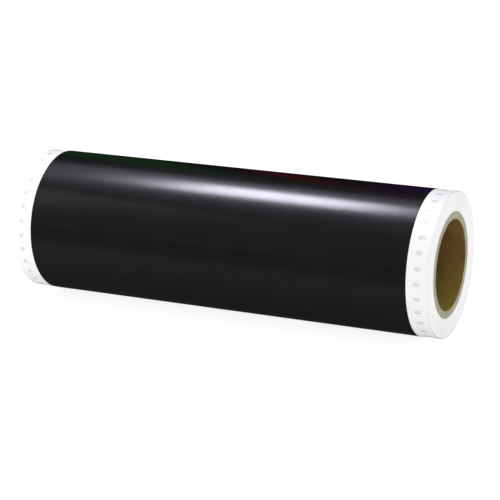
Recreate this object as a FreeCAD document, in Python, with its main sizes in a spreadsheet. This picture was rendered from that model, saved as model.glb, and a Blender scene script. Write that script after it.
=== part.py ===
"""Roll of punched sign vinyl: a parametric FreeCAD document, in millimetres.

The roll lies on its side. +X runs along the core, +Y points to the back and +Z up, and the
origin is the middle of the core's bore. A spiral-wound paper core carries one long web of
black vinyl film on a wider white release liner, whose two bare margins are punched for
sprocket pins. Most of the web is wound tight and stands as one ring. The last two turns are
real strips that follow the winding spiral, and the free end of the web, the tail, is cut into
staves one punch pitch long, hinged to each other, so that it can peel off the roll. Two tabs of
paper tape hold the tail down.

The winding spiral is made of half circles whose centres alternate about the roll's axis, so
the web has no kink. A lap angle starts from +Y, grows towards +Z, and goes on growing past
360 degrees as the web goes deeper into the roll.
"""

import FreeCAD, Part
import math
import os

Vector = FreeCAD.Vector
AXIS = Vector(1, 0, 0)
ALONG_ROLL = FreeCAD.Placement(Vector(0, 0, 0), FreeCAD.Rotation(Vector(0, 1, 0), 90))

# Driving dimensions: alias, value, what it is.
SIZES = [
    ("web_width", 381.0, "width of the release liner and length of the core: 15 in"),
    ("film_width", 346.0, "width of the vinyl film, centred on the liner"),
    ("core_bore", 76.2, "bore of the core: 3 in"),
    ("inner_ply", 0.42, "smooth ply that lines the bore"),
    ("board_ply", 0.93, "one ply of core board"),
    ("board_plies", 6, "number of core board plies"),
    ("outer_ply", 0.35, "smooth ply that faces the web"),
    ("seam_gap", 0.6, "open butt joint between the turns of one ply, along the core"),
    ("seam_lead", 150.0, "how far a ply's strip moves along the core in one turn"),
    ("seam_stagger", 137.5, "angle between the seams of neighbouring plies"),
    ("glue_line", 0.02, "glue between the core and the first turn of liner"),
    ("liner_gauge", 0.15, "thickness of the release liner"),
    ("film_gauge", 0.10, "thickness of the vinyl film with its adhesive"),
    ("turns_inside", 66, "turns of web in the tightly wound ring"),
    ("winding_air", 0.06, "air between the last turns, which are wound loosely"),
    ("starter_width", 25.0, "width of the double-sided starter tape, round the core"),
    ("starter_gauge", 0.10, "thickness of the starter tape"),
    ("starter_inset", 20.0, "from each end of the core to the starter tape"),
    ("punch_pitch", 12.7, "spacing of the sprocket holes along the web: 1/2 in"),
    ("punch_size", 3.6, "diameter of a round sprocket hole, and width of a slot"),
    ("slot_length", 5.6, "length of a sprocket slot, across the web"),
    ("punch_inset", 8.3, "from the liner's edge to the line of holes"),
    ("tail_root", 65.7, "lap angle in degrees where the tail leaves the roll"),
    ("tail_staves", 10, "number of staves in the tail, each one punch pitch long"),
    ("hinge_gap", 0.03, "gap between two staves"),
    ("tape_width", 19.0, "width of one tape tab, along the roll"),
    ("tape_spacing", 220.0, "distance between the middles of the two tape tabs"),
    ("tape_gauge", 0.08, "thickness of the tape"),
    ("tape_on_tail", 10.0, "length of tape stuck to the tail"),
    ("tape_on_roll", 16.0, "length of tape stuck to the roll past the tail's end"),
]

doc = FreeCAD.newDocument("vinyl_roll")
sheet = doc.addObject("Spreadsheet::Sheet", "Sizes")
for row, (alias, value, meaning) in enumerate(SIZES, start=1):
    sheet.set(f"A{row}", meaning)
    sheet.set(f"B{row}", str(value))
    sheet.setAlias(f"B{row}", alias)
doc.recompute()


def size(alias):
    """The value of one cell of the sheet, as a number."""
    return float(sheet.get(alias))


web_width = size("web_width")
film_width = size("film_width")
liner_gauge = size("liner_gauge")
web_gauge = liner_gauge + size("film_gauge")
winding_air = size("winding_air")
lap_pitch = web_gauge + winding_air
tail_root = size("tail_root")
tail_staves = int(size("tail_staves"))
board_plies = int(size("board_plies"))

core_radius = (
    size("core_bore") / 2 + size("inner_ply") + board_plies * size("board_ply") + size("outer_ply")
)
ring_bore_radius = core_radius + size("glue_line")
ring_radius = ring_bore_radius + int(size("turns_inside")) * web_gauge

# The tail's neutral radius gives the angle of one stave, and from it the lap angles of the ends.
OUTER_TURNS = 2
tail_radius = ring_radius + OUTER_TURNS * lap_pitch
stave_angle = math.degrees(size("punch_pitch") / tail_radius)
gap_angle = math.degrees(size("hinge_gap") / tail_radius)
tail_end = tail_root - tail_staves * stave_angle
strip_end = tail_end + 360 * OUTER_TURNS

parts = []


def keep(obj, name):
    """Gives a finished sub-part its name and lists it for export."""
    obj.Label = name
    parts.append(obj)
    return obj


def feature(name, shape):
    """A finished sub-part whose shape is worked out here."""
    obj = doc.addObject("Part::Feature", name)
    obj.Shape = shape
    return keep(obj, name)


# --- The winding spiral ---------------------------------------------------------------------

FACES_PER_TURN = 64

def half_turn(angle):
    """Index of the half circle that a lap angle lies on, counted from the outside."""
    return math.floor(angle / 180 + 1e-9) + 1


LAST_HALF_TURN = half_turn(strip_end - 1e-6)


def lap_radius(index):
    """Radius of the liner's inner face on one half circle."""
    return ring_radius + winding_air + (LAST_HALF_TURN - index) * lap_pitch / 2


def lap_centre(index):
    """Y of the centre of one half circle."""
    return -lap_pitch / 4 if index % 2 == 0 else lap_pitch / 4


def lap_point(index, angle, offset, x):
    """A point on one half circle, offset outwards from the liner's inner face."""
    turn = math.radians(angle)
    reach = lap_radius(index) + offset
    return Vector(x, lap_centre(index) + reach * math.cos(turn), reach * math.sin(turn))


def face_lines(start, end):
    """Lap angles at which the faces of a strip meet, its two ends included.

    Every layer has its lines at the same angles, so that the layers still nest once they are
    meshed. Only the ends of the half circles may lie right beside an end of the strip.
    """
    step = 360 / FACES_PER_TURN
    angles = [step * k for k in range(math.ceil(start / step), math.floor(end / step) + 1)]
    inside = [a for a in angles if start < a < end]
    wide = [a for a in inside if min(a - start, end - a) > 0.3 or a % 180 == 0]
    return [start] + wide + [end]


def lap_arcs(start, end, offset, x):
    """Arcs along the spiral from one lap angle to a larger one, at an offset."""
    lines = face_lines(start, end)
    arcs = []
    for low, high in zip(lines, lines[1:]):
        middle = (low + high) / 2
        spots = [lap_point(half_turn(middle), a, offset, x) for a in (low, middle, high)]
        arcs.append(Part.Arc(*spots).toShape())
    return arcs


def strip(start, end, low, high, width):
    """A solid strip of the web between two lap angles and two offsets, centred on x = 0."""
    inside = lap_arcs(start, end, low, -width / 2)
    outside = lap_arcs(start, end, high, -width / 2)
    near = Part.LineSegment(inside[0].Vertexes[0].Point, outside[0].Vertexes[0].Point).toShape()
    far = Part.LineSegment(inside[-1].Vertexes[-1].Point, outside[-1].Vertexes[-1].Point).toShape()
    outline = Part.Wire(Part.__sortEdges__(inside + [far] + outside + [near]))
    return Part.Face(outline).extrude(AXIS * width)


# --- Sprocket holes -------------------------------------------------------------------------

TOOL_MARGIN = 0.05  # a cutting tool reaches this far past the liner's faces


def punch_tool(angle, slotted):
    """The cutter of one sprocket hole through the liner at a lap angle.

    It is made pointing up, then turned about the roll's axis to its angle.
    """
    index = half_turn(angle)
    radius = size("punch_size") / 2
    # The tool starts lower by the liner's fall across the hole.
    fall = lap_radius(index) - math.sqrt(lap_radius(index) ** 2 - radius**2)
    bottom = lap_radius(index) - fall - TOOL_MARGIN
    height = fall + liner_gauge + 2 * TOOL_MARGIN
    reach = size("slot_length") / 2 - radius if slotted else 0.0
    if slotted:
        a = Vector(-reach, -radius, bottom)
        b = Vector(reach, -radius, bottom)
        c = Vector(reach, radius, bottom)
        d = Vector(-reach, radius, bottom)
        right = Part.Arc(b, Vector(reach + radius, 0, bottom), c).toShape()
        left = Part.Arc(d, Vector(-reach - radius, 0, bottom), a).toShape()
        sides = [Part.LineSegment(a, b).toShape(), right, Part.LineSegment(c, d).toShape(), left]
        tool = Part.Face(Part.Wire(sides)).extrude(Vector(0, 0, height))
    else:
        tool = Part.makeCylinder(radius, height, Vector(0, 0, bottom))
    row = web_width / 2 - size("punch_inset")
    tool.rotate(Vector(0, 0, 0), AXIS, angle - 90)
    tool.translate(Vector(row if slotted else -row, lap_centre(index), 0))
    return tool


def punch(shape, angles):
    """The liner with a round hole on the left and a slot on the right at each lap angle."""
    tools = [punch_tool(angle, slotted) for angle in angles for slotted in (False, True)]
    return shape.cut(tools)


def hole_angles(start, end):
    """Lap angles of the holes between two lap angles, one punch pitch apart along the web.

    The first hole of each stave is a quarter of a pitch from its hinge line, so no hole
    crosses a hinge.
    """
    clear = math.degrees((size("punch_size") / 2 + 1.0) / tail_radius)
    angles, angle = [], tail_root + 0.75 * stave_angle
    while angle < end - clear:
        if angle > start + clear:
            angles.append(angle)
        angle += math.degrees(size("punch_pitch") / (lap_radius(half_turn(angle)) + liner_gauge / 2))
    return angles


# --- The core -------------------------------------------------------------------------------


SEAM_OVERRUN = 10.0  # the seam's cutter runs this far past each end of the core


def seam_half_turn(low, high, base):
    """Half a turn of a seam's cutter, between two radii, starting at a height on the +X side."""
    gap, lead = size("seam_gap"), size("seam_lead")
    helix = Part.Wire(Part.makeHelix(lead, lead / 2, low).Edges)
    helix.translate(Vector(0, 0, base))
    corners = [
        Vector(low, 0, base - gap / 2),
        Vector(high, 0, base - gap / 2),
        Vector(high, 0, base + gap / 2),
        Vector(low, 0, base + gap / 2),
    ]
    sweep = Part.BRepOffsetAPI.MakePipeShell(helix)
    sweep.setBiNormalMode(Vector(0, 0, 1))
    sweep.add(Part.makePolygon(corners + corners[:1]), False, False)
    sweep.build()
    sweep.makeSolid()
    return sweep.shape()


def ply_seam(name, inside, outside, phase):
    """The helical butt joint of one ply, as the solid that is cut out of its tube."""
    half_lead = size("seam_lead") / 2
    pieces = []
    for order in range(math.ceil((web_width + 2 * SEAM_OVERRUN) / half_lead)):
        piece = seam_half_turn(inside - 0.2, outside + 0.2, order * half_lead - SEAM_OVERRUN)
        piece.rotate(Vector(0, 0, 0), Vector(0, 0, 1), phase + 180 * order)
        pieces.append(piece)
    obj = doc.addObject("Part::Feature", name)
    obj.Shape = pieces[0].multiFuse(pieces[1:])
    return obj


def core_ply(name, formulas, radii, order):
    """One ply of the core: a tube bound to the sheet, cut along its helical seam.

    formulas holds its inner and outer radius as expressions, and radii the same as numbers.
    """
    walls = []
    for suffix, radius, extra in (("_out", formulas[1], 0), ("_in", formulas[0], 2)):
        wall = doc.addObject("Part::Cylinder", name + suffix)
        wall.setExpression("Radius", radius)
        wall.setExpression("Height", f"Sizes.web_width + {extra}")
        wall.Placement = FreeCAD.Placement(Vector(0, 0, -extra / 2), FreeCAD.Rotation())
        walls.append(wall)
    tube = doc.addObject("Part::Cut", name + "_tube")
    tube.Base, tube.Tool = walls
    ply = doc.addObject("Part::Cut", name)
    ply.Base = tube
    ply.Tool = ply_seam(name + "_seam", radii[0], radii[1], order * size("seam_stagger"))
    half = FreeCAD.Placement(Vector(-web_width / 2, 0, 0), FreeCAD.Rotation())
    ply.Placement = half.multiply(ALONG_ROLL)
    return keep(ply, name)


def check_seam(ply):
    """Stops if a ply lost more or less material to its seam than the seam's size says."""
    tube = ply.Base.Shape.Volume
    removed = tube - ply.Shape.Volume
    expected = tube * size("seam_gap") / size("seam_lead")
    if abs(removed - expected) > 0.02 * expected:
        raise RuntimeError(f"{ply.Name}: its seam took {removed:.1f} mm3, not {expected:.1f}")


def build_core():
    """All plies of the core, from the bore outwards, with their seams staggered."""
    plies = [("core_inner_ply", "inner_ply")]
    plies += [(f"core_board_ply_{i + 1}", "board_ply") for i in range(board_plies)]
    plies += [("core_outer_ply", "outer_ply")]
    inside, radius = "Sizes.core_bore / 2", size("core_bore") / 2
    for order, (name, alias) in enumerate(plies):
        outside = f"{inside} + Sizes.{alias}"
        core_ply(name, (inside, outside), (radius, radius + size(alias)), order)
        inside, radius = outside, radius + size(alias)
    doc.recompute()
    for name, _ in plies:
        check_seam(doc.getObject(name))


# --- The wound web --------------------------------------------------------------------------


def starter_tape_shape(extra=0.0):
    """The strip of double-sided tape on the core, grown by a clearance on its outer sides."""
    length = web_width - 2 * size("starter_inset") + 2 * extra
    wall = Part.makeCylinder(
        ring_bore_radius + size("starter_gauge") + extra, length, Vector(-length / 2, 0, 0), AXIS
    )
    bore = Part.makeCylinder(ring_bore_radius, length, Vector(-length / 2, 0, 0), AXIS)
    half = size("starter_width") / 2 + extra
    block = Part.makeBox(length, 2 * half, 2 * ring_radius, Vector(-length / 2, -half, 0))
    return wall.cut(bore).common(block)


def build_ring():
    """The tightly wound turns and the starter tape that holds the first of them."""
    start = tail_end + 360
    arcs = lap_arcs(start, strip_end, -winding_air, -web_width / 2)
    step = Part.LineSegment(arcs[-1].Vertexes[-1].Point, arcs[0].Vertexes[0].Point).toShape()
    outline = Part.Wire(Part.__sortEdges__(arcs + [step]))
    solid = Part.Face(outline).extrude(AXIS * web_width)
    bore = Part.makeCylinder(ring_bore_radius, web_width + 2, Vector(-web_width / 2 - 1, 0, 0), AXIS)
    feature("inner_turns", solid.cut([bore, starter_tape_shape(extra=size("glue_line"))]))
    feature("starter_tape", starter_tape_shape())


def build_outer_turns():
    """The last turns of liner and film that stay on the roll, from the tail's root inwards."""
    liner = strip(tail_root, strip_end, 0, liner_gauge, web_width)
    feature("liner_outer_turns", punch(liner, hole_angles(tail_root, strip_end)))
    feature("film_outer_turns", strip(tail_root, strip_end, liner_gauge, web_gauge, film_width))


def build_tail():
    """The staves of the tail: a piece of liner and a piece of film in each."""
    for order in range(tail_staves):
        high = tail_root - order * stave_angle - gap_angle
        low = tail_root - (order + 1) * stave_angle
        liner = strip(low, high, 0, liner_gauge, web_width)
        hole = tail_root - (order + 0.25) * stave_angle
        feature(f"tail_liner_{order + 1}", punch(liner, [hole]))
        feature(f"tail_film_{order + 1}", strip(low, high, liner_gauge, web_gauge, film_width))


def build_tape():
    """Two tabs of tape across the tail's end, stuck to the tail and pressed down on the roll."""
    gauge = size("tape_gauge")
    on_tail = web_gauge
    on_roll = web_gauge - lap_pitch + winding_air
    high = tail_end + math.degrees(size("tape_on_tail") / tail_radius)
    edge = tail_end - math.degrees(winding_air / tail_radius)
    wall = edge - math.degrees(gauge / tail_radius)
    low = tail_end - math.degrees(size("tape_on_roll") / tail_radius)
    width = size("tape_width")
    for side, name in ((-1, "tail_tape_left"), (1, "tail_tape_right")):
        on_film = strip(edge, high, on_tail, on_tail + gauge, width)
        step = strip(wall, edge, on_roll, on_tail + gauge, width)
        on_pack = strip(low, wall, on_roll, on_roll + gauge, width)
        tab = on_film.fuse([step, on_pack]).removeSplitter()
        tab.translate(AXIS * (side * size("tape_spacing") / 2))
        feature(name, tab)


def check_and_export():
    """Stops if anything failed or a sub-part isn't sound, then writes one STEP file each."""
    doc.recompute()
    for obj in doc.Objects:
        if "Invalid" in obj.State or "Error" in obj.State:
            raise RuntimeError(f"{obj.Name} failed: {obj.State}")
    for obj in parts:
        shape = obj.Shape
        if shape.isNull() or not shape.isValid() or not shape.Solids:
            raise RuntimeError(f"{obj.Label} has no sound shape")
    os.makedirs("parts", exist_ok=True)
    for obj in parts:
        obj.Shape.exportStep(f"parts/{obj.Label}.step")
    print(f"{len(parts)} sub-parts, outer radius {lap_radius(0) + web_gauge:.3f} mm")
    print(f"core radius {core_radius:.3f}, ring radius {ring_radius:.3f}, stave {stave_angle:.4f} deg")
    print(f"tail end {tail_end:.4f} deg")
    for order in range(tail_staves):
        line = tail_root - order * stave_angle
        spot = lap_point(half_turn(line), line, web_gauge, 0)
        print(f"hinge line {order + 1}: y {spot.y:.4f}, z {spot.z:.4f}")


build_core()
build_ring()
build_outer_turns()
build_tail()
build_tape()
check_and_export()
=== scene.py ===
"""Looks of a roll of punched sign vinyl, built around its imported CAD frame, in metres.

The roll lies on its side with its axis along X. A lap angle, in degrees, starts from +Y, grows
towards +Z, and goes on growing as the web goes deeper into the roll. A place along the web is
also given in stations: station 0 is where the tail begins, one station is one punch pitch,
negative stations are on the tail and positive ones go into the roll.
"""

import logging
import math
from dataclasses import dataclass, field
from enum import Enum
from typing import Callable

import bpy
import numpy as np
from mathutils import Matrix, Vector

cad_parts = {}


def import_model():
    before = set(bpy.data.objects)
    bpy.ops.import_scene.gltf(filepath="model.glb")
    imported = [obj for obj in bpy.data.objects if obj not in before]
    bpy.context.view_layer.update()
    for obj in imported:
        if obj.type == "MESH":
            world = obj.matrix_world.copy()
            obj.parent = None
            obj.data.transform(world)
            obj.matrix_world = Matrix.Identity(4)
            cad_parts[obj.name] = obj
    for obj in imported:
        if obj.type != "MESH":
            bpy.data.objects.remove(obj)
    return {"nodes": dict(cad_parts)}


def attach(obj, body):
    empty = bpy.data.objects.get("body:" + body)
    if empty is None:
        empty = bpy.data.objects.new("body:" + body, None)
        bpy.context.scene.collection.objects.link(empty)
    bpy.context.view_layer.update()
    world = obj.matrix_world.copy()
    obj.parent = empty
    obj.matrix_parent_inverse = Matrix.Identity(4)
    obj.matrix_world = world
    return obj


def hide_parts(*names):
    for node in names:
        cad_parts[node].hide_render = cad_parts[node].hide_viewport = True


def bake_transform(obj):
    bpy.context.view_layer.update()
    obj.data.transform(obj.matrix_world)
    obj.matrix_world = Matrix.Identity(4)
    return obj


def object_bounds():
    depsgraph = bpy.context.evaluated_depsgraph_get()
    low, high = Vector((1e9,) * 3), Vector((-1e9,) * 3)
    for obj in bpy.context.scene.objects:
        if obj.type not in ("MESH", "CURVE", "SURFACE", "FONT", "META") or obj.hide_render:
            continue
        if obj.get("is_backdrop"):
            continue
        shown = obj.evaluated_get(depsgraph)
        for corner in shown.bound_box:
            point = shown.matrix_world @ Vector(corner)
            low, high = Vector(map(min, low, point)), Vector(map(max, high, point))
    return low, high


log = logging.getLogger("vinyl_roll")
Array = np.ndarray
Colour = tuple[float, float, float]


# --- Shader building ------------------------------------------------------------------------


class Value:
    """A number that varies over a surface: an output socket with arithmetic."""

    def __init__(self, finish: "Finish", socket: bpy.types.NodeSocket) -> None:
        """Wraps a socket of a finish's node tree."""
        self.finish = finish
        self.socket = socket

    def _math(self, operation: str, first: object, second: object) -> "Value":
        """Adds one Math node.

        Args:
            operation: The Math node's operation.
            first: The first operand, a Value or a number.
            second: The second operand, a Value or a number.

        Returns:
            The node's result.
        """
        node = self.finish.node("ShaderNodeMath", {"operation": operation}, {0: first, 1: second})
        return Value(self.finish, node.outputs[0])

    def __add__(self, other: object) -> "Value":
        """This number plus another."""
        return self._math("ADD", self, other)

    __radd__ = __add__

    def __sub__(self, other: object) -> "Value":
        """This number minus another."""
        return self._math("SUBTRACT", self, other)

    def __rsub__(self, other: object) -> "Value":
        """Another number minus this one."""
        return self._math("SUBTRACT", other, self)

    def __mul__(self, other: object) -> "Value":
        """This number times another."""
        return self._math("MULTIPLY", self, other)

    __rmul__ = __mul__

    def __truediv__(self, other: object) -> "Value":
        """This number divided by another."""
        return self._math("DIVIDE", self, other)

    def __pow__(self, other: object) -> "Value":
        """This number to a power."""
        return self._math("POWER", self, other)

    def floor(self) -> "Value":
        """The whole number below this one."""
        return self._math("FLOOR", self, 0.0)

    def heading(self, other: object) -> "Value":
        """The angle, in radians, whose tangent is this number over another."""
        return self._math("ARCTAN2", self, other)

    def step_up(self, low: float, high: float) -> "Value":
        """A smooth rise: 0 below low, 1 above high, and 3 t squared less 2 t cubed between them.

        Args:
            low: Where the rise starts.
            high: Where it ends.

        Returns:
            The share of the rise that is reached.
        """
        settings = {"interpolation_type": "SMOOTHSTEP"}
        inputs = {"Value": self, "From Min": low, "From Max": high}
        node = self.finish.node("ShaderNodeMapRange", settings, inputs)
        return Value(self.finish, node.outputs[0])


class Finish:
    """A material under construction: a node tree with one Principled shader."""

    def __init__(self, name: str, roughness: float = 0.5) -> None:
        """Starts a material.

        Args:
            name: The material's name.
            roughness: Its roughness where nothing varies it.
        """
        self.material = bpy.data.materials.new(name)
        self.material.use_nodes = True
        self.tree = self.material.node_tree
        self.tree.nodes.clear()
        self.shader = self.node("ShaderNodeBsdfPrincipled", {}, {"Roughness": roughness})
        self.node("ShaderNodeOutputMaterial", {}, {"Surface": self.shader.outputs[0]})
        self.place = self.node("ShaderNodeTexCoord").outputs["Object"]

    def node(self, kind: str, settings: dict | None = None, inputs: dict | None = None) -> bpy.types.Node:
        """Adds any node.

        Args:
            kind: The node's type name.
            settings: Its properties, such as a Math node's operation, which are set first.
            inputs: Plain values, Values or sockets for its inputs, by name or number.

        Returns:
            The new node.
        """
        node = self.tree.nodes.new(kind)
        for key, setting in (settings or {}).items():
            setattr(node, key, setting)
        for key, given in (inputs or {}).items():
            self.feed(node.inputs[key], given)
        return node

    def feed(self, socket: bpy.types.NodeSocket, given: object) -> None:
        """Links a socket, or sets it.

        Args:
            socket: The input.
            given: A Value or a socket to link to it, or a plain value to set it to.
        """
        if isinstance(given, Value):
            given = given.socket
        if isinstance(given, bpy.types.NodeSocket):
            self.tree.links.new(given, socket)
        elif isinstance(given, tuple) and len(given) == 3 and socket.type == "RGBA":
            socket.default_value = (*given, 1.0)
        else:
            socket.default_value = given

    def set(self, **inputs: object) -> None:
        """Sets or links the shader's own sockets; an underscore stands for a space."""
        for key, given in inputs.items():
            self.feed(self.shader.inputs[key.replace("_", " ")], given)

    def axes(self) -> tuple[Value, Value, Value]:
        """The object coordinates x, y and z."""
        outputs = self.node("ShaderNodeSeparateXYZ", {}, {0: self.place}).outputs
        return Value(self, outputs[0]), Value(self, outputs[1]), Value(self, outputs[2])

    def vector(self, x: object, y: object, z: object) -> bpy.types.NodeSocket:
        """Three numbers as one vector."""
        return self.node("ShaderNodeCombineXYZ", {}, {0: x, 1: y, 2: z}).outputs[0]

    def noise(
        self, scale: float, detail: float = 2.0, at: object = None, roughness: float = 0.5
    ) -> Value:
        """Fractal noise from 0 to 1.

        Args:
            scale: Features per metre.
            detail: Number of octaves added.
            at: The vector it is read at, or None for object coordinates.
            roughness: How strong the fine octaves are.

        Returns:
            The noise.
        """
        inputs = {"Vector": at or self.place, "Scale": scale, "Detail": detail, "Roughness": roughness}
        return Value(self, self.node("ShaderNodeTexNoise", {}, inputs).outputs[0])

    def attribute(self, name: str) -> Value:
        """A number stored on the mesh's points."""
        node = self.node("ShaderNodeAttribute", {"attribute_name": name})
        return Value(self, node.outputs["Fac"])

    def blend(self, factor: object, first: object, second: object) -> bpy.types.NodeSocket:
        """A colour between two.

        Args:
            factor: 0 for the first colour, 1 for the second.
            first: A colour, or a socket that gives one.
            second: A colour, or a socket that gives one.

        Returns:
            The mixed colour's socket.
        """
        node = self.node("ShaderNodeMix", {"data_type": "RGBA"})
        self.feed(node.inputs[0], factor)
        self.feed(node.inputs[6], first)
        self.feed(node.inputs[7], second)
        return node.outputs[2]

    def bump(self, height: Value, distance: float, strength: float = 1.0) -> None:
        """Turns a height from 0 to 1 into relief of a depth in metres, on the shader."""
        inputs = {"Height": height, "Distance": distance, "Strength": strength}
        self.set(Normal=self.node("ShaderNodeBump", {}, inputs).outputs[0])


# --- Finishes -------------------------------------------------------------------------------


@dataclass(frozen=True)
class VinylFilm:
    """Calendered vinyl film: a near-black satin face with faint calender streaks."""

    dark: Colour = (0.0042, 0.0034, 0.0038)
    light: Colour = (0.0052, 0.0043, 0.0048)
    roughness: float = 0.235
    specular: float = 0.11

    def make(self) -> bpy.types.Material:
        """Builds the material, whose streaks run round the roll.

        Returns:
            The material.
        """
        finish = Finish("vinyl_film")
        x, y, z = finish.axes()
        streak = finish.noise(1.0, 3.0, finish.vector(x * 420.0, y * 7.0, z * 7.0))
        cloud = finish.noise(28.0, 3.0)
        grain = finish.noise(5200.0, 2.0)
        finish.set(
            Base_Color=finish.blend(cloud.step_up(0.35, 0.7), self.dark, self.light),
            Roughness=self.roughness + 0.05 * (cloud - 0.5) + 0.05 * (streak - 0.5),
            Specular_IOR_Level=self.specular,
        )
        finish.bump(0.35 * grain + streak, 0.0000022)
        return finish.material


@dataclass(frozen=True)
class LinerPaper:
    """White release liner: smooth coated paper with a faint fibre cloud.

    Where another turn covers it, almost no light comes through, so a painted shade makes its colour greyer
    there.
    """

    white: Colour = (0.735, 0.735, 0.740)
    cloud: Colour = (0.710, 0.710, 0.715)
    # Painted shade: the colour of paper that lies in the dark under another turn.
    covered: Colour = (0.618, 0.618, 0.622)
    roughness: float = 0.42

    def make(self) -> bpy.types.Material:
        """Builds the material.

        Returns:
            The material.
        """
        finish = Finish("liner_paper")
        mottle = finish.noise(160.0, 4.0, roughness=0.6)
        fibre = finish.noise(2600.0, 3.0, roughness=0.65)
        paper = finish.blend(mottle.step_up(0.4, 0.75), self.white, self.cloud)
        finish.set(
            # Painted shade: greyer where the mesh attribute marks paper under another turn or on the back of
            # the tail.
            Base_Color=finish.blend(finish.attribute("covered"), paper, self.covered),
            Roughness=self.roughness + 0.12 * (fibre - 0.5),
            Specular_IOR_Level=0.45,
        )
        finish.bump(fibre + 0.6 * mottle, 0.000012)
        return finish.material


@dataclass(frozen=True)
class WoundEdges:
    """The slit edges of the wound web: white paper edges with fine darker lines of painted shade in the
    grooves between them.
    """

    white: Colour = (0.91, 0.912, 0.92)
    shade: Colour = (0.80, 0.803, 0.815)
    # Painted shade: the colour in the grooves between the turns' edges.
    groove: Colour = (0.55, 0.55, 0.57)

    def make(self) -> bpy.types.Material:
        """Builds the material. Bands of turns, found from the radius, differ a little.

        Returns:
            The material.
        """
        finish = Finish("wound_edges", roughness=0.62)
        x, y, z = finish.axes()
        radius = (y * y + z * z) ** 0.5
        band = finish.noise(1.0, 3.0, finish.vector(radius * 1400.0, 0.0, x * 3.0), roughness=0.7)
        fray = finish.noise(900.0, 3.0)
        paper = finish.blend(band.step_up(0.45, 0.75) * 0.55, self.white, self.shade)
        finish.set(
            # Painted shade: grooves between turns, marked by the mesh attribute, take the darker colour.
            Base_Color=finish.blend(finish.attribute("groove"), paper, self.groove),
            Specular_IOR_Level=0.3,
        )
        finish.bump(fray + band, 0.00003)
        return finish.material


class CorePaper(Enum):
    """The papers of the wound core: a dark and a light colour, and how far their lower half turns olive."""

    BORE_KRAFT = ((0.152, 0.082, 0.017), (0.228, 0.134, 0.032), 0.45)
    GREY_BOARD = ((0.31, 0.295, 0.205), (0.43, 0.41, 0.30), 0.0)
    FACE_KRAFT = ((0.30, 0.235, 0.15), (0.42, 0.34, 0.225), 0.0)


@dataclass(frozen=True)
class SpiralBoard:
    """Core paper: long fibres that follow the ply's spiral, with sparse dark flecks.

    On a paper with an olive share, the lower half of the wall turns towards olive. The first joint
    is the radius of the glue line between the inner ply and the first board ply.
    """

    paper: CorePaper
    olive: Colour = (0.31, 0.28, 0.034)
    lead: float = 0.150
    first_joint: float = 0.03852
    ply: float = 0.00093
    glue_strength: float = 0.55
    fleck_strength: float = 0.6

    @staticmethod
    def sawn(finish: Finish) -> Value:
        """Finds the core's sawn ends, where the square of the normal's x is near 1.

        Args:
            finish: The material under construction.

        Returns:
            1 on the sawn ends and 0 on the round faces.
        """
        normal = finish.node("ShaderNodeTexCoord").outputs["Normal"]
        along = Value(finish, finish.node("ShaderNodeSeparateXYZ", {}, {0: normal}).outputs[0])
        return (along * along).step_up(0.4, 0.7)

    def make(self) -> bpy.types.Material:
        """Builds the material.

        On the round faces the fibres run where x less the spiral's advance is constant. On the
        sawn ends they lie in rings instead, with a dark glue line between neighbouring plies.

        Returns:
            The material.
        """
        finish = Finish("core_" + self.paper.name.lower())
        dark, light, olive_share = self.paper.value
        x, y, z = finish.axes()
        turn = z.heading(y)
        across = x - turn * (self.lead / (2.0 * math.pi))
        fibre = finish.noise(1.0, 4.0, finish.vector(across * 1500.0, y * 150.0, z * 150.0), roughness=0.7)
        sawn = self.sawn(finish)
        radius = (y * y + z * z) ** 0.5
        rings = finish.noise(1.0, 4.0, finish.vector(radius * 4200.0, y * 55.0, z * 55.0), roughness=0.7)
        fibre = fibre * (1.0 - sawn) + rings * sawn
        cloud = finish.noise(90.0, 3.0)
        fleck = finish.noise(1.0, 1.0, finish.vector(across * 2600.0, y * 700.0, z * 700.0))
        board = finish.blend((0.55 * fibre + 0.45 * cloud).step_up(0.35, 0.65), dark, light)
        speck = tuple(0.45 * part for part in dark)
        flecked = finish.blend(fleck.step_up(0.70, 0.78) * self.fleck_strength, board, speck)
        ply = (radius - self.first_joint) / self.ply
        beside = ply - (ply + 0.5).floor()
        glue = (1.0 - (beside * beside).step_up(0.0, 0.012)) * sawn * self.glue_strength
        glued = finish.blend(glue, flecked, speck)
        # The lower half turns towards olive, by the paper's share.
        lower = (0.0 - z).step_up(0.0, 0.045) * olive_share
        finish.set(
            Base_Color=finish.blend(lower, glued, self.olive),
            Roughness=0.66 + 0.16 * fibre,
            Specular_IOR_Level=0.3,
        )
        finish.bump(fibre + 0.5 * cloud, 0.00004)
        return finish.material


@dataclass(frozen=True)
class TapePaper:
    """Creped paper tape: fine ridges across the tape, and a warm cream colour."""

    dark: Colour = (0.55, 0.44, 0.25)
    light: Colour = (0.74, 0.64, 0.43)

    def make(self) -> bpy.types.Material:
        """Builds the material.

        Returns:
            The material.
        """
        finish = Finish("crepe_tape", roughness=0.6)
        x, y, z = finish.axes()
        crepe = finish.noise(1.0, 3.0, finish.vector(x * 120.0, y * 1500.0, z * 1500.0), roughness=0.65)
        finish.set(
            Base_Color=finish.blend(crepe.step_up(0.35, 0.65), self.dark, self.light),
            Roughness=0.52 + 0.2 * crepe,
        )
        finish.bump(crepe, 0.00006)
        return finish.material


@dataclass(frozen=True)
class FixingTape:
    """Double-sided tape: a translucent-looking cream film with faint bubbles."""

    film: Colour = (0.70, 0.67, 0.58)
    bubble: Colour = (0.80, 0.78, 0.71)

    def make(self) -> bpy.types.Material:
        """Builds the material.

        Returns:
            The material.
        """
        finish = Finish("fixing_tape", roughness=0.35)
        bubble = finish.noise(700.0, 2.0)
        finish.set(
            Base_Color=finish.blend(bubble.step_up(0.55, 0.7), self.film, self.bubble),
            Roughness=0.3 + 0.2 * bubble,
        )
        finish.bump(bubble, 0.00002)
        return finish.material


# --- Meshes ---------------------------------------------------------------------------------

SKIN_ALIKE = 0.75
"""A face counts as skin where the cosine between its normal and the skin's is above this."""

SHARP_ANGLE = math.radians(32)
"""Edges that turn by more than this stay sharp on a shell that has no skin."""


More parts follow.
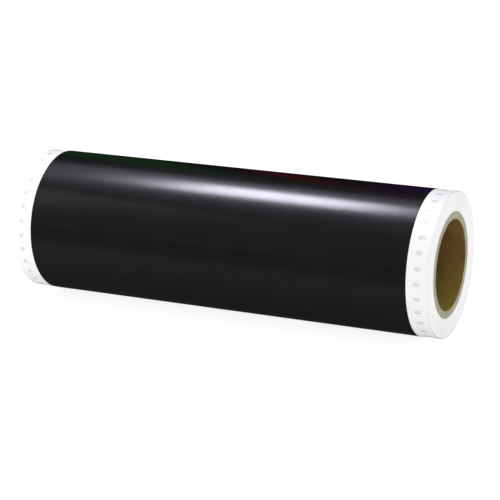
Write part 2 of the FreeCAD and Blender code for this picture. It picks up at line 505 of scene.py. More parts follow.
@dataclass
class Shell:
    """A closed mesh of four-sided faces, with the direction its skin faces at each point."""

    points: Array
    faces: Array
    skin: Array | None = None
    numbers: dict[str, Array] = field(default_factory=dict)

    def make(self, name: str, material: bpy.types.Material) -> bpy.types.Object:
        """Puts the shell into a mesh object.

        Faces that look along the skin's direction, or against it, take it as their exact
        normal. All others keep their own flat normal, so that the edges stay crisp.

        Args:
            name: The object's name.
            material: Its finish.

        Returns:
            The new object, linked to the scene.
        """
        mesh = bpy.data.meshes.new(name)
        mesh.from_pydata(self.points.tolist(), [], self.faces.tolist())
        mesh.materials.append(material)
        for key, numbers in self.numbers.items():
            mesh.attributes.new(key, "FLOAT", "POINT").data.foreach_set("value", numbers.astype(np.float32))
        mesh.shade_smooth()
        if self.skin is None:
            mesh.set_sharp_from_angle(angle=SHARP_ANGLE)
        else:
            mesh.normals_split_custom_set(self._corner_normals(mesh).tolist())
        obj = bpy.data.objects.new(name, mesh)
        bpy.context.scene.collection.objects.link(obj)
        log.info("%s: %d points, %d faces", name, len(self.points), len(self.faces))
        return obj

    def _corner_normals(self, mesh: bpy.types.Mesh) -> Array:
        """Works out the normals at the faces' corners.

        Args:
            mesh: The mesh made from this shell.

        Returns:
            One normal for each corner, from the skin or from the face itself.
        """
        flat = np.zeros(len(mesh.polygons) * 3)
        mesh.polygons.foreach_get("normal", flat)
        sizes = np.zeros(len(mesh.polygons), int)
        mesh.polygons.foreach_get("loop_total", sizes)
        owner = np.repeat(np.arange(len(sizes)), sizes)
        corner = np.zeros(len(mesh.loops), int)
        mesh.loops.foreach_get("vertex_index", corner)
        flat = flat.reshape(-1, 3)[owner]
        skin = self.skin[corner]
        along = np.einsum("ij,ij->i", flat, skin)
        smooth = np.abs(along) > SKIN_ALIKE
        return np.where(smooth[:, None], skin * np.sign(along)[:, None], flat)


def grid_faces(rows: int, columns: int) -> Array:
    """Faces of a grid of points stored row by row, turning from rows towards columns."""
    corner = (np.arange(rows - 1)[:, None] * columns + np.arange(columns - 1)[None, :]).ravel()
    return np.stack([corner, corner + columns, corner + columns + 1, corner + 1], -1)


def loop_faces(rows: int, around: int) -> Array:
    """Faces between rings of points, each ring closed on itself.

    Args:
        rows: Number of rings.
        around: Number of points in a ring.

    Returns:
        Four point numbers for each face.
    """
    row = np.arange(rows - 1)[:, None] * around
    here = np.arange(around)[None, :]
    there = (here + 1) % around
    return np.stack([row + here, row + around + here, row + around + there, row + there], -1).reshape(-1, 4)


def weld(points: Array, faces: Array, step: float) -> tuple[Array, Array]:
    """Merges points that round to the same place, and renumbers the faces.

    Args:
        points: Points, one a row; further columns take part in the comparison.
        faces: Four point numbers for each face.
        step: The rounding step.

    Returns:
        The points that are left, and the faces.
    """
    keys = np.round(points / step).astype(np.int64)
    _, first, number = np.unique(keys, axis=0, return_index=True, return_inverse=True)
    return points[first], number.reshape(-1)[faces]


def rim(faces: Array) -> Array:
    """Finds the edges of a sheet that no neighbouring face shares.

    Args:
        faces: Four point numbers for each face.

    Returns:
        The edges as pairs of point numbers, each in its own face's direction.
    """
    edges = np.stack([faces, np.roll(faces, -1, axis=1)], -1).reshape(-1, 2)
    size = int(faces.max()) + 1
    keys = edges[:, 0] * size + edges[:, 1]
    return edges[~np.isin(edges[:, 1] * size + edges[:, 0], keys)]


def two_sided(faces: Array, count: int) -> Array:
    """Closes a sheet and its copy into one shell, with a wall along their rim.

    Args:
        faces: The sheet's faces, which look outwards.
        count: Number of the sheet's points; its copy's points follow them.

    Returns:
        The faces of the sheet, of its copy turned round, and of the wall.
    """
    edge = rim(faces)
    wall = np.stack([edge[:, 1], edge[:, 0], edge[:, 0] + count, edge[:, 1] + count], -1)
    return np.concatenate([faces, faces[:, ::-1] + count, wall])


# --- The web --------------------------------------------------------------------------------


@dataclass(frozen=True)
class Winding:
    """The path of the web: half circles whose centres alternate about the roll's axis."""

    ring_radius: float = 0.06097
    liner: float = 0.00015
    film: float = 0.00010
    air: float = 0.00006
    punch_pitch: float = 0.0127
    root: float = 65.7
    staves: int = 10
    half_turns: int = 4

    @property
    def web(self) -> float:
        """Thickness of liner and film together."""
        return self.liner + self.film

    @property
    def lap(self) -> float:
        """How far the path comes in with each turn."""
        return self.web + self.air

    @property
    def stave(self) -> float:
        """The lap angle of one punch pitch on the tail."""
        return math.degrees(self.punch_pitch / (self.ring_radius + 2 * self.lap))

    @property
    def tail_end(self) -> float:
        """The lap angle of the web's free end."""
        return self.root - self.staves * self.stave

    @property
    def strip_end(self) -> float:
        """The lap angle where the outer turns go over into the tightly wound ring."""
        return self.tail_end + 720.0

    def radius(self, angle: Array) -> Array:
        """Radius of the liner's inner face at a lap angle."""
        half = np.floor(np.asarray(angle) / 180.0 + 1e-9) + 1
        return self.ring_radius + self.air + (self.half_turns - half) * self.lap / 2

    def outward(self, angle: Array) -> Array:
        """The outward direction at a lap angle."""
        turn = np.radians(angle)
        return np.stack([np.zeros_like(turn), np.cos(turn), np.sin(turn)], -1)

    def place(self, angle: Array, lift: Array, x: Array) -> Array:
        """Points of the web.

        A point lies at its half circle's centre plus the outward direction times the radius
        and the lift above the liner's inner face.

        Args:
            angle: Lap angles.
            lift: Heights above the liner's inner face.
            x: Places along the roll.

        Returns:
            One point for each, as an array of three columns.
        """
        angle, lift, x = np.broadcast_arrays(angle, lift, x)
        half = np.floor(angle / 180.0 + 1e-9) + 1
        centre = np.where(half % 2 == 0, -self.lap / 4, self.lap / 4)
        points = self.outward(angle) * (self.radius(angle) + lift)[..., None]
        points[..., 0] = x
        points[..., 1] += centre
        return points

    def angle(self, station: Array) -> Array:
        """Lap angles of stations along the web.

        On the tail they are evenly spaced. On the roll each station takes a pitch of arc at
        the radius its punched hole has, so the steps grow as the turns get smaller.

        Args:
            station: Stations along the web.

        Returns:
            Their lap angles.
        """
        knots, angles = [0.0, 0.25], [self.root + 0.5 * self.stave, self.root + 0.75 * self.stave]
        while angles[-1] < self.strip_end + 20.0:
            step = math.degrees(self.punch_pitch / (float(self.radius(angles[-1])) + self.liner / 2))
            knots.append(knots[-1] + 1.0)
            angles.append(angles[-1] + step)
        station = np.asarray(station, float)
        on_tail = self.root + (station + 0.5) * self.stave
        return np.where(station < 0, on_tail, np.interp(station, knots, angles))

    def last_station(self) -> float:
        """The station at the end of the outer turns."""
        stations = np.linspace(40.0, 60.0, 4001)
        return float(np.interp(self.strip_end, self.angle(stations), stations))


@dataclass(frozen=True)
class Punching:
    """The sprocket holes: round in the left margin, slots across the web in the right one."""

    inset: float = 0.0083
    size: float = 0.0036
    slot: float = 0.0056
    at: float = 0.25

    def outline(self, along: Array, across: Array, slotted: bool) -> tuple[Array, Array]:
        """Points on a hole's edge, in the directions of given points round its middle.

        A point at direction d lies one hole radius out along d. In a slot it is also shifted
        across the web, towards its own end, by half of the slot's straight part.

        Args:
            along: Offsets along the web.
            across: Offsets across the web.
            slotted: Whether the hole is a slot.

        Returns:
            The edge points' offsets along and across the web.
        """
        turn = np.arctan2(across, along)
        shift = (self.slot - self.size) / 2 if slotted else 0.0
        reach = self.size / 2
        return reach * np.cos(turn), reach * np.sin(turn) + shift * np.sign(np.round(across, 9))


@dataclass(frozen=True)
class WebSheet:
    """Flat patterns of the web's layers, in stations along it and metres across it."""

    winding: Winding
    punching: Punching
    width: float = 0.381
    film_width: float = 0.346
    steps: int = 12
    patch: float = 0.0045
    under_film: tuple[float, ...] = (0.085, 0.150, 0.1700, 0.1735)
    beyond_holes: float = 0.1888
    film_columns: int = 56
    ring_share: float = 0.58
    # Painted shade on the liner: where it starts past the root and over how many degrees it fades in, and
    # how strong it is on the back of the tail.
    covered_shade_from: float = 356.0
    covered_shade_over: float = 4.0
    back_of_tail_shade: float = 0.6

    def liner_lines(self) -> Array:
        """Places the lines of the liner's pattern, closer together at the rows of holes.

        Returns:
            Their places across the web.
        """
        row = self.width / 2 - self.punching.inset
        patch = np.linspace(row - self.patch, row + self.patch, self.steps // 2 + 1)
        half = np.concatenate([self.under_film, patch, [self.beyond_holes, self.width / 2]])
        return np.concatenate([-half[::-1], [0.0], half])

    def film_lines(self) -> Array:
        """Places across the film where its pattern has lines."""
        return np.linspace(-self.film_width / 2, self.film_width / 2, self.film_columns + 1)

    def plain(self, start: float, end: float, lines: Array) -> tuple[Array, Array]:
        """A grid with no holes.

        Args:
            start: Its first station.
            end: Its last station.
            lines: Places of its lines across the web.

        Returns:
            Its points, as stations and places across, and its faces.
        """
        count = max(2, int(math.ceil((end - start) * self.steps - 1e-6)) + 1)
        stations = np.linspace(start, end, count)
        along, across = np.meshgrid(stations, lines, indexing="ij")
        return np.stack([along.ravel(), across.ravel()], -1), grid_faces(count, len(lines))

    def cell(self) -> tuple[Array, Array]:
        """One pitch of liner with a hole near each edge.

        The grid is opened where a hole lies, and rings of faces run from the opening's square
        edge in to the hole's own edge. A point of the ring between them lies a share of the way
        in, the same share all round.

        Returns:
            Its points, as stations and places across, and its faces.
        """
        lines = self.liner_lines()
        points, faces = self.plain(0.0, 1.0, lines)
        middle = points[faces].mean(1)
        row = self.width / 2 - self.punching.inset
        parts = [points]
        solid = np.ones(len(faces), bool)
        rings: list[Array] = []
        count = len(points)
        for side, slotted in ((-1, False), (1, True)):
            centre = np.array([self.punching.at, side * row])
            reach = np.array([self.punching.at, self.patch])
            inside = (np.abs(middle - centre) < reach).all(1)
            solid &= ~inside
            edge = rim(faces[inside])
            follow = dict(edge.tolist())
            order = [int(edge[0, 0])]
            while len(order) < len(edge):
                order.append(follow[order[-1]])
            square = points[order] - centre
            along = square[:, 0] * self.winding.punch_pitch
            hole = np.stack(self.punching.outline(along, square[:, 1], slotted), -1)
            hole[:, 0] /= self.winding.punch_pitch
            between = centre + (1.0 - self.ring_share) * square + self.ring_share * hole
            size = len(order)
            parts += [between, centre + hole]
            ids = np.stack([np.array(order), count + np.arange(size), count + size + np.arange(size)])
            count += 2 * size
            for outer, inner in zip(ids, ids[1:]):
                rings.append(np.stack([outer, np.roll(outer, -1), np.roll(inner, -1), inner], -1))
        return np.concatenate(parts), np.concatenate([faces[solid], *rings])

    def punched(self, first: int, last: float) -> tuple[Array, Array]:
        """Liner with holes. A part of a pitch at its end is plain.

        Args:
            first: Its first station.
            last: Its last station.

        Returns:
            Its points, as stations and places across, and its faces.
        """
        cells = int(math.floor(last + 1e-6)) - first
        points, faces = self.cell()
        shift = np.repeat(np.arange(first, first + cells), len(points))
        tiled = np.tile(points, (cells, 1))
        tiled[:, 0] += shift
        numbers = np.tile(faces, (cells, 1)) + np.repeat(np.arange(cells), len(faces))[:, None] * len(points)
        if last - (first + cells) > 1e-6:
            more, more_faces = self.plain(first + cells, last, self.liner_lines())
            numbers = np.concatenate([numbers, more_faces + len(tiled)])
            tiled = np.concatenate([tiled, more])
        return weld(tiled, numbers, 1e-6)

    def film_dent(self, angle: Array, x: Array) -> Array:
        """Relief of the film's face: soft hoops round the roll.

        The hoops are two sines across the web, to which two slow waves that run round the roll
        are added.

        Args:
            angle: Lap angles.
            x: Places across the web.

        Returns:
            Heights, all below zero.
        """
        turn = np.radians(angle)
        hoops = np.sin(x * 148.0 + 0.7 * np.sin(turn)) + 0.7 * np.sin(x * 89.0 + 1.3)
        slow = np.sin(3.0 * turn + 40.0 * x) + np.sin(7.0 * turn - 25.0 * x + 0.6)
        return -0.000010 * (1.0 + (hoops + 0.35 * slow) / 2.4)

    def liner_droop(self, angle: Array, x: Array) -> Array:
        """Relief of the liner's bare margins, which hang in soft waves.

        The droop grows with the square of the share of the margin crossed, and two sines of the
        lap angle make its waves.

        Args:
            angle: Lap angles.
            x: Places across the web.

        Returns:
            Heights, none above zero.
        """
        margin = (np.abs(x) - self.film_width / 2) / ((self.width - self.film_width) / 2)
        margin = np.clip(margin, 0.0, 1.0)
        turn = np.radians(angle)
        side = np.sign(x)
        wave = np.sin(9.0 * turn + 1.1 * side) + 0.6 * np.sin(17.0 * turn + 2.3 * side)
        return -0.00003 * margin**2 * (1.0 + wave / 1.6)

    def solid(
        self,
        sheet: tuple[Array, Array],
        lifts: tuple[float, float],
        relief: Callable[[Array, Array], Array],
        both_faces: bool,
    ) -> Shell:
        """Wraps a flat pattern round the roll and gives it its thickness.

        Args:
            sheet: The pattern's points and faces.
            lifts: Heights of its lower and upper face above the liner's inner face.
            relief: Height added at a lap angle and a place across the web.
            both_faces: Whether the lower face follows the relief too.

        Returns:
            A closed shell whose faces look outwards.
        """
        flat, faces = sheet
        angle = self.winding.angle(flat[:, 0])
        x = flat[:, 1]
        height = relief(angle, x)
        upper = self.winding.place(angle, lifts[1] + height, x)
        lower = self.winding.place(angle, lifts[0] + (height if both_faces else 0.0), x)
        step = 1e-4
        slope_x = (relief(angle, x + step) - relief(angle, x - step)) / (2 * step)
        turn_step = 0.05
        arc = math.radians(2 * turn_step) * self.winding.radius(angle)
        slope_turn = (relief(angle + turn_step, x) - relief(angle - turn_step, x)) / arc
        turn = np.radians(angle)
        skin = self.winding.outward(angle)
        skin[:, 0] -= slope_x
        skin[:, 1] += slope_turn * np.sin(turn)
        skin[:, 2] -= slope_turn * np.cos(turn)
        skin /= np.linalg.norm(skin, axis=1)[:, None]
        count = len(flat)
        # Painted shade: the upper face is marked from a lap angle on, fading in over a few degrees; the
        # lower face is marked fully where the lap angle is above zero and less on the rest of the tail.
        covered = np.clip((angle - self.winding.root - self.covered_shade_from) / self.covered_shade_over, 0.0, 1.0)
        return Shell(
            np.concatenate([upper, lower]),
            two_sided(faces, count),
            np.concatenate([skin, skin]),
            {"covered": np.concatenate([covered, np.where(angle > 0, 1.0, self.back_of_tail_shade)])},
        )


@dataclass
class OuterWeb:
    """The last turns of the web and its peeling tail, as liner and film."""

    sheet: WebSheet
    film: bpy.types.Material
    liner: bpy.types.Material

    def build(self) -> None:
        """Builds the turns that stay on the roll, the tail's pieces and its free end."""
        winding = self.sheet.winding
        last = winding.last_station()
        fixed = self.film_piece("film_turns", 0.0, last)
        self.attach(fixed, "roll", ["film_outer_turns"], "vinyl_film")
        fixed = self.liner_piece("liner_turns", 0, last)
        self.attach(fixed, "roll", ["liner_outer_turns"], "release_liner")
        for stave in range(1, winding.staves + 1):
            start = winding.place(winding.angle(1.0 - stave), 0.0, 0.0)
            end = winding.place(winding.angle(-float(stave)), 0.0, 0.0)
            film = self.film_piece(f"film_tail_{stave}", -float(stave), 1.0 - stave)
            liner = self.liner_piece(f"liner_tail_{stave}", -stave, 1.0 - stave)
            for piece, node, slot in (
                (film, f"tail_film_{stave}", "vinyl_film"),
                (liner, f"tail_liner_{stave}", "release_liner"),
            ):
                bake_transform(piece)
                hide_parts(node)
        free = -winding.staves - 0.5
        tip = f"tail_{winding.staves}"
        self.attach(self.film_piece("film_tail_tip", free, free + 0.5), tip, [], "vinyl_film")
        flat = self.sheet.plain(free, free + 0.5, self.sheet.liner_lines())
        self.attach(self.wrap_liner("liner_tail_tip", flat), tip, [], "release_liner")

    def film_piece(self, name: str, start: float, end: float) -> bpy.types.Object:
        """A piece of film.

        Args:
            name: The piece's name.
            start: Its first station.
            end: Its last station.

        Returns:
            The piece.
        """
        winding = self.sheet.winding
        flat = self.sheet.plain(start, end, self.sheet.film_lines())
        lifts = (winding.liner, winding.web)
        return self.sheet.solid(flat, lifts, self.sheet.film_dent, False).make(name, self.film)

    def liner_piece(self, name: str, first: int, last: float) -> bpy.types.Object:
        """A punched piece of liner between two stations."""
        return self.wrap_liner(name, self.sheet.punched(first, last))

    def wrap_liner(self, name: str, flat: tuple[Array, Array]) -> bpy.types.Object:
        """A piece of liner from its flat pattern."""
        lifts = (0.0, self.sheet.winding.liner)
        return self.sheet.solid(flat, lifts, self.sheet.liner_droop, True).make(name, self.liner)

    @staticmethod
    def attach(piece: bpy.types.Object, body: str, nodes: list[str], slot: str) -> None:
        """Ties a piece to the frame.

        Args:
            piece: The piece.
            body: The body it rides on.
            nodes: The CAD nodes it stands for.
            slot: Its material slot in the record; not used.
        """
        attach(piece, body)
        if nodes:
            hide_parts(*nodes)


@dataclass
class WoundRing:
    """The tightly wound turns: one long spiral whose slit edges show at both ends."""

    winding: Winding
    material: bpy.types.Material
    bore_radius: float = 0.04447
    width: float = 0.381
    turns: int = 66
    columns: int = 144
    groove_depth: float = 0.00007
    groove_span: tuple[float, float] = (0.82, 0.91)
    wander: float = 0.00004
    left_margin: float = 0.00011

    def radii(self, travel: Array) -> Array:
        """Radius after a number of turns inwards.

        The first turn follows the outer turns' path. After it the spiral comes in evenly, and
        it reaches the bore where the innermost turn ends.

        Args:
            travel: Numbers of turns inwards.

        Returns:
            The radii.
        """
        angle = self.winding.strip_end - 360.0 + 360.0 * np.clip(travel, 0.0, 1.0)
        points = self.winding.place(angle, -self.winding.air, 0.0)
        outer = np.hypot(points[..., 1], points[..., 2])
        after = float(self.winding.radius(self.winding.strip_end - 1e-6)) - self.winding.air
        inner = after + (self.bore_radius - after) * (travel - 1.0) / self.turns
        return np.where(travel <= 1.0, outer, inner)

    def stagger(self, travel: Array) -> Array:
        """How far a turn's edge lies in from the roll's end, as it wanders along the web.

        The edge is a sum of two slow sines and two quick ones, scaled to lie between 0 and
        twice the wander.

        Args:
            travel: Numbers of turns inwards.

        Returns:
            Distances from the roll's end.
        """
        slow = np.sin(travel * 0.83) + 0.8 * np.sin(travel * 2.17 + 1.0)
        quick = 0.5 * np.sin(travel * 9.1 + 2.0) + 0.4 * np.sin(travel * 23.7)
        return self.wander * (1.0 + (slow + quick) / 2.7)

    def build(self) -> None:
        """Builds the ring.

        Each end is a grid of rows along the spiral. One turn's last column is the next turn's
        first, so the rows join into a single ribbon, with a shallow recess between neighbouring turns
        whose rows are marked for the painted shade of the edges' material.
        """
        notches = np.array([0.0, *self.groove_span])
        travel_rows = (np.arange(self.turns)[:, None] + notches[None, :]).ravel()
        travel_rows = np.append(travel_rows, float(self.turns))
        groove_rows = np.append(np.tile([0.0, 0.0, 1.0], self.turns), 0.0)
        turn_share = np.linspace(0.0, 1.0, self.columns + 1)
        travel = travel_rows[:, None] + turn_share[None, :]
        groove = np.broadcast_to(groove_rows[:, None], travel.shape)
        angle = self.winding.strip_end - 360.0 + 360.0 * turn_share
        radius = self.radii(travel)
        depth = groove * self.groove_depth
        rows, columns = travel.shape
        ends: list[Array] = []
        for side in (-1, 1):
            wander = self.stagger(travel) if side > 0 else self.left_margin - self.stagger(travel)
            x = side * (self.width / 2 - depth - np.maximum(wander, 0.0))
            turn = np.radians(np.broadcast_to(angle, travel.shape))
            ends.append(np.stack([x, radius * np.cos(turn), radius * np.sin(turn)], -1).reshape(-1, 3))
        face = grid_faces(rows, columns)
        count = rows * columns
        bore = np.arange(columns - 1) + (rows - 1) * columns
        skin = np.arange(columns - 1)
        inner = np.stack([bore + 1, bore, bore + count, bore + 1 + count], -1)
        outer = np.stack([skin, skin + 1, skin + 1 + count, skin + count], -1)
        row = np.arange(len(notches) + 1)
        steps = [self.step(row * columns, count)]
        steps.append(self.step((rows - 1 - row) * columns + columns - 1, count))
        marks = np.tile(np.broadcast_to(groove_rows[:, None], (rows, columns)).ravel(), 2)
        tagged = np.column_stack([np.concatenate(ends), marks])
        faces = np.concatenate([face, face[:, ::-1] + count, inner, outer, *steps])
        tagged, faces = weld(tagged, faces, 2e-7)
        # The marks carry the painted shade of the edges' material.
        shell = Shell(tagged[:, :3], faces, None, {"groove": tagged[:, 3]})
        ring = shell.make("wound_ring", self.material)
        OuterWeb.attach(ring, "roll", ["inner_turns"], "wound_web")

    @staticmethod
    def step(points: Array, count: int) -> Array:
        """The wall of the step where the spiral starts or ends.

        Args:
            points: Point numbers along the step at the ring's left end.
            count: What is added to reach the same points at its right end.

        Returns:
            Four point numbers for each face.
        """
        near, far = points[:-1], points[1:]
        return np.stack([far, near, near + count, far + count], -1)


@dataclass
class SpiralCore:
    """The paper core: plies of strip wound in a spiral, each with its own open butt seam."""

    bore: float = 0.0381
    width: float = 0.381
    lead: float = 0.150
    gap: float = 0.0006
    stagger: float = 137.5
    inner_ply: float = 0.00042
    board_ply: float = 0.00093
    boards: int = 6
    outer_ply: float = 0.00035
    step: float = 3.0
    sliver: float = 0.00002

    def build(self, finishes: dict[CorePaper, bpy.types.Material]) -> None:
        """Builds every ply, from the bore outwards.

        Args:
            finishes: The material of each core paper.
        """
        bore = CorePaper.BORE_KRAFT
        plies = [("inner_ply", "core_inner_ply", self.inner_ply, bore, "core_liner_paper")]
        for number in range(1, self.boards + 1):
            name = f"board_ply_{number}"
            plies.append((name, "core_" + name, self.board_ply, CorePaper.GREY_BOARD, "core_board"))
        face = CorePaper.FACE_KRAFT
        plies.append(("outer_ply", "core_outer_ply", self.outer_ply, face, "core_face_paper"))
        radius = self.bore
        for order, (name, node, gauge, paper, slot) in enumerate(plies):
            shell = self.ply(radius, radius + gauge, order)
            radius += gauge
            OuterWeb.attach(shell.make("spiral_" + name, finishes[paper]), "roll", [node], slot)

    def ply(self, inside: float, outside: float, order: int) -> Shell:
        """One ply as a strip.

        At a turn t of the strip, its two edges lie at x = lead * (t - 1) + gap / 2 and
        x = lead * t - gap / 2, counted from the left end and cut off at both ends of the core.
        The ends taper to a point there, as a spiral strip does when it is sawn square.

        Args:
            inside: Inner radius.
            outside: Outer radius.
            order: The ply's place in the wall, which turns its seam.

        Returns:
            The strip as a closed shell.
        """
        turns = (self.width + self.lead - self.gap - 2 * self.sliver) / self.lead
        start = (self.gap / 2 + self.sliver) / self.lead
        left_cut = (self.lead - self.gap - self.sliver) / self.lead
        right_cut = (self.width - self.sliver) / self.lead
        knots = [0.0, left_cut, right_cut, turns]
        even = np.linspace(0.0, turns, int(turns * 360.0 / self.step) + 1)
        turn = start + np.unique(np.round(np.concatenate([even, knots]), 6))
        low = np.clip(self.lead * (turn - 1.0) + self.gap / 2, 0.0, self.width) - self.width / 2
        high = np.clip(self.lead * turn - self.gap / 2, 0.0, self.width) - self.width / 2
        trim = self.sliver * (math.sin(2.1 * order + 0.4) + 1.0)
        low = np.maximum(low, trim - self.width / 2)
        high = np.maximum(np.minimum(high, self.width / 2 - trim), low + 1e-6)
        low = np.minimum(low, high - 1e-6)
        angle = np.radians(360.0 * turn + order * self.stagger)
        around = np.stack([np.zeros_like(angle), np.cos(angle), -np.sin(angle)], -1)
        corners = []
        for x, radius in ((low, inside), (high, inside), (high, outside), (low, outside)):
            corner = around * radius
            corner[:, 0] = x
            corners.append(corner)
        points = np.stack(corners, 1).reshape(-1, 3)
        faces = loop_faces(len(turn), 4)
        tip = np.array([[0, 1, 2, 3]])
        tail = tip[:, ::-1] + 4 * (len(turn) - 1)
        skin = np.repeat(around, 4, axis=0)
        return Shell(points, np.concatenate([faces, tip, tail]), skin)


@dataclass
class TapeTab:
    """A tab of creped paper tape, torn off on a toothed blade, that holds the tail's end."""

    winding: Winding
    width: float = 0.019
    spacing: float = 0.220
    gauge: float = 0.00008
    on_tail: float = 0.0100
    on_roll: float = 0.0160
    tooth: float = 0.0012
    tooth_depth: float = 0.0005
    bridge: float = 0.0012
    clear: float = 0.000012
    crepe_height: float = 0.000006
    pressed: float = 0.75
    rows: int = 131
    columns: int = 49

    def height(self, arc: Array, x: Array) -> Array:
        """Height of the tape's lower face above the liner's inner face.

        Over the tail it lies on the film. Past the web's cut end it comes down in a smooth
        curve to the turn below. Fine crepe ripples are added all over.

        Args:
            arc: Distances past the web's cut end, along the web.
            x: Places across the tape.

        Returns:
            The heights.
        """
        slope = np.clip((arc + 0.0001) / self.bridge, 0.0, 1.0)
        slope = slope * slope * (3 - 2 * slope)
        ripple = np.sin(arc * 5200.0 + 2.0 * np.sin(x * 900.0)) + np.sin(arc * 8100.0 + 700.0 * x)
        return self.winding.web * (1.0 - slope) + self.clear + self.crepe_height * ripple

    def build(self, name: str, node: str, middle: float, material: bpy.types.Material) -> None:
        """Builds one tab.

        Args:
            name: The piece's name.
            node: The CAD node it stands for.
            middle: Its place along the roll.
            material: Its finish.
        """
        lengthwise = np.linspace(0, 1, self.rows)
        share, across = np.meshgrid(lengthwise, np.linspace(-0.5, 0.5, self.columns), indexing="ij")
        x = across * self.width
        teeth = np.abs((x / self.tooth) % 1.0 - 0.5) * 2.0 * self.tooth_depth
        start = -self.on_tail + teeth
        end = self.on_roll - teeth
        arc = start + share * (end - start)
        radius = self.winding.ring_radius + 2 * self.winding.lap
        angle = self.winding.tail_end - np.degrees(arc / radius)
        below = self.height(arc, x)
        lower = self.winding.place(angle, below, x + middle).reshape(-1, 3)
        upper = self.winding.place(angle, below + self.gauge * self.pressed, x + middle).reshape(-1, 3)
        faces = two_sided(grid_faces(self.rows, self.columns)[:, ::-1], self.rows * self.columns)
        tab = Shell(np.concatenate([upper, lower]), faces).make(name, material)
        OuterWeb.attach(tab, f"tail_{self.winding.staves}", [node], "paper_tape")


# --- Studio ---------------------------------------------------------------------------------


class Reach(Enum):
    """What a light falls on: reflections in glossy faces, matt faces, or both."""

    HIGHLIGHTS = (True, False)
    MATT = (False, True)
    BOTH = (True, True)


@dataclass(frozen=True)
class Softbox:
    """A soft rectangular light, aimed at a target point."""

    name: str
    at: tuple[float, float, float]
    size: tuple[float, float]
    power: float
    colour: Colour = (1.0, 1.0, 1.0)
    target: tuple[float, float, float] = (0.0, 0.0, 0.0)
    reach: Reach = Reach.HIGHLIGHTS

    def build(self) -> None:
        """Adds the light, turned to face its target."""
        data = bpy.data.lights.new(self.name, "AREA")
        data.shape = "RECTANGLE"
        data.size, data.size_y = self.size
        data.energy = self.power
        data.color = self.colour
        obj = bpy.data.objects.new(self.name, data)
        obj.location = self.at
        obj.rotation_euler = (Vector(self.target) - Vector(self.at)).to_track_quat("-Z", "Y").to_euler()
        obj.visible_camera = False
        obj.visible_glossy, obj.visible_diffuse = self.reach.value
        bpy.context.scene.collection.objects.link(obj)


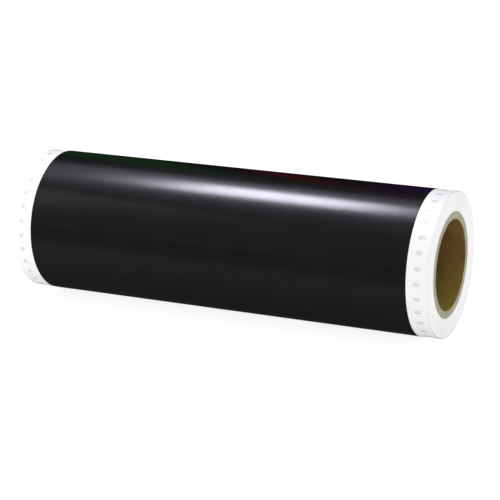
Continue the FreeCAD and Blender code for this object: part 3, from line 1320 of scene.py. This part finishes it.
@dataclass
class Studio:
    """Pale floor, soft light and the camera."""

    ground: float = -0.0619
    surround: float = 1.0
    floor_rings: tuple[float, float] = (0.35, 2.6)
    floor_sides: int = 96
    floor_glow: float = 0.88
    strip_x: tuple[float, float] = (-1.8, 1.6)
    strip_y: float = 1.1
    strip_lift: float = 0.0001
    azimuth: float = 24.355
    elevation: float = 15.686
    distance: float = 1.5974
    aim: tuple[float, float, float] = (0.00901, 0.0, -0.00806)
    lens: float = 133.28

    def build(self) -> None:
        """Builds the whole studio."""
        self.floor()
        self.paper_strip()
        self.lights()
        self.camera()

    def floor(self) -> None:
        """A wide pale disc under the roll."""
        sides = self.floor_sides
        here = np.arange(sides)
        there = (here + 1) % sides
        turn = here * (2.0 * math.pi / sides)
        level = np.full(sides, self.ground)
        rings = [np.stack([r * np.cos(turn), r * np.sin(turn), level], -1) for r in self.floor_rings]
        points = np.concatenate([[[0.0, 0.0, self.ground]], *rings])
        fan = np.stack([np.zeros(sides, int), 1 + here, 1 + there], -1)
        band = np.stack([1 + here, 1 + sides + here, 1 + sides + there, 1 + there], -1)
        mesh = bpy.data.meshes.new("floor")
        mesh.from_pydata(points.tolist(), [], fan.tolist() + band.tolist())
        finish = Finish("pale_floor", roughness=0.9)
        tone = finish.noise(3.0, 2.0)
        finish.set(
            Base_Color=finish.blend(tone, (0.24, 0.24, 0.24), (0.26, 0.26, 0.26)),
            Specular_IOR_Level=0.0,
            Emission_Color=(1.0, 1.0, 1.0),
            Emission_Strength=self.floor_glow,
        )
        mesh.materials.append(finish.material)
        obj = bpy.data.objects.new("floor", mesh)
        bpy.context.scene.collection.objects.link(obj)
        obj.visible_glossy = False
        obj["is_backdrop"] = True

    def paper_strip(self) -> None:
        """A glowing sheet that only reflections see: a painted reflection of the floor, with a painted
        contact shadow that keeps it dark at the roll and pale further out.
        """
        height = self.ground + self.strip_lift
        left, right = self.strip_x
        front, back = -self.strip_y, self.strip_y
        points = [(left, front, height), (right, front, height), (right, back, height), (left, back, height)]
        mesh = bpy.data.meshes.new("paper_strip")
        mesh.from_pydata(points, [], [(0, 1, 2, 3)])
        finish = Finish("paper_strip", roughness=0.9)
        away = (finish.axes()[1] ** 2.0) ** 0.5
        # Painted shadow: the glow is dark near the roll, full from 0.13 m out and half as strong past 0.21
        # m.
        light = away.step_up(0.02, 0.13) - 0.5 * away.step_up(0.17, 0.21)
        finish.set(
            Base_Color=(0.0, 0.0, 0.0),
            Specular_IOR_Level=0.0,
            Emission_Color=finish.blend(light, (0.05, 0.05, 0.05), (1.0, 0.97, 1.0)),
            Emission_Strength=1.0,
        )
        mesh.materials.append(finish.material)
        obj = bpy.data.objects.new("paper_strip", mesh)
        obj.visible_camera = False
        obj.visible_diffuse = False
        obj.visible_shadow = False
        obj.visible_transmission = False
        bpy.context.scene.collection.objects.link(obj)
        obj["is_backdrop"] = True

    def lights(self) -> None:
        """Soft light from all round, a small key softbox overhead and tinted cards behind."""
        world = bpy.data.worlds.new("studio")
        world.use_nodes = True
        world.node_tree.nodes["Background"].inputs[0].default_value = (1.0, 1.0, 1.0, 1.0)
        world.node_tree.nodes["Background"].inputs[1].default_value = self.surround
        bpy.context.scene.world = world
        world.cycles_visibility.glossy = False
        above, below = (-0.40, 0.19, 1.0), (-0.40, 0.19, 0.0)
        left_end = (-0.19, 0.0, -0.03)
        boxes = [
            Softbox("key", (-0.31, 0.07, 0.91), (0.26, 0.26), 20.5, (0.88, 0.86, 1.0)),
            Softbox("ceiling", above, (1.10, 0.73), 4.4, (0.87, 0.82, 1.0), below, Reach.BOTH),
            Softbox("valance", (-0.40, -0.42, 1.12), (1.40, 0.45), 2.6, (0.92, 0.86, 1.0)),
            Softbox("front", (-0.70, -1.30, 0.62), (1.60, 1.45), 5.9, (1.0, 0.97, 1.0), reach=Reach.BOTH),
            Softbox("bounce", (-0.60, -0.45, -0.005), (0.5, 0.09), 0.62, target=left_end, reach=Reach.MATT),
            Softbox("back", (0.75, 1.25, 0.85), (1.10, 0.70), 6.0, (1.0, 0.98, 1.0)),
            Softbox("side", (-1.15, -0.80, 0.95), (0.80, 0.90), 5.0, (1.0, 0.94, 1.0)),
            Softbox("card_green", (-0.68, 1.00, 0.62), (0.22, 0.75), 0.075, (0.08, 1.0, 0.16)),
            Softbox("card_red", (-0.40, 1.00, 0.62), (0.08, 0.75), 0.045, (1.0, 0.05, 0.08)),
            Softbox("card_violet", (-0.17, 1.00, 0.62), (0.14, 0.75), 0.075, (0.35, 0.08, 1.0)),
        ]
        for box in boxes:
            box.build()
        bpy.context.scene.view_settings.view_transform = "Standard"

    def camera(self) -> None:
        """A long lens, level, at the given azimuth and elevation about the aim point."""
        data = bpy.data.cameras.new("camera")
        data.lens = self.lens
        data.sensor_width = 36.0
        data.clip_end = 20.0
        az, el = math.radians(self.azimuth), math.radians(self.elevation)
        away = Vector((math.sin(az) * math.cos(el), -math.cos(az) * math.cos(el), math.sin(el)))
        obj = bpy.data.objects.new("camera", data)
        obj.location = Vector(self.aim) + self.distance * away
        obj.rotation_euler = (-away).to_track_quat("-Z", "Y").to_euler()
        bpy.context.scene.collection.objects.link(obj)
        bpy.context.scene.camera = obj


def plain_box() -> list[list[float]]:
    """The box of everything shown, as plain lists."""
    return [[float(part) for part in corner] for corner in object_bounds()]


def main() -> None:
    """Loads the frame and builds every part of the roll around it."""
    logging.basicConfig(level=logging.INFO, format="%(name)s: %(message)s")
    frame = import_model()
    cad_box = plain_box()
    winding = Winding()
    sheet = WebSheet(winding, Punching())
    core = {paper: SpiralBoard(paper).make() for paper in CorePaper}
    OuterWeb(sheet, VinylFilm().make(), LinerPaper().make()).build()
    WoundRing(winding, WoundEdges().make()).build()
    SpiralCore().build(core)
    tape = TapePaper().make()
    tab = TapeTab(winding)
    tab.build("tape_left", "tail_tape_left", -tab.spacing / 2, tape)
    tab.build("tape_right", "tail_tape_right", tab.spacing / 2, tape)
    for slot in frame["nodes"]["starter_tape"].material_slots:
        slot.material = FixingTape().make()
    Studio(ground=cad_box[0][2]).build()


if __name__ == "__main__":
    main()
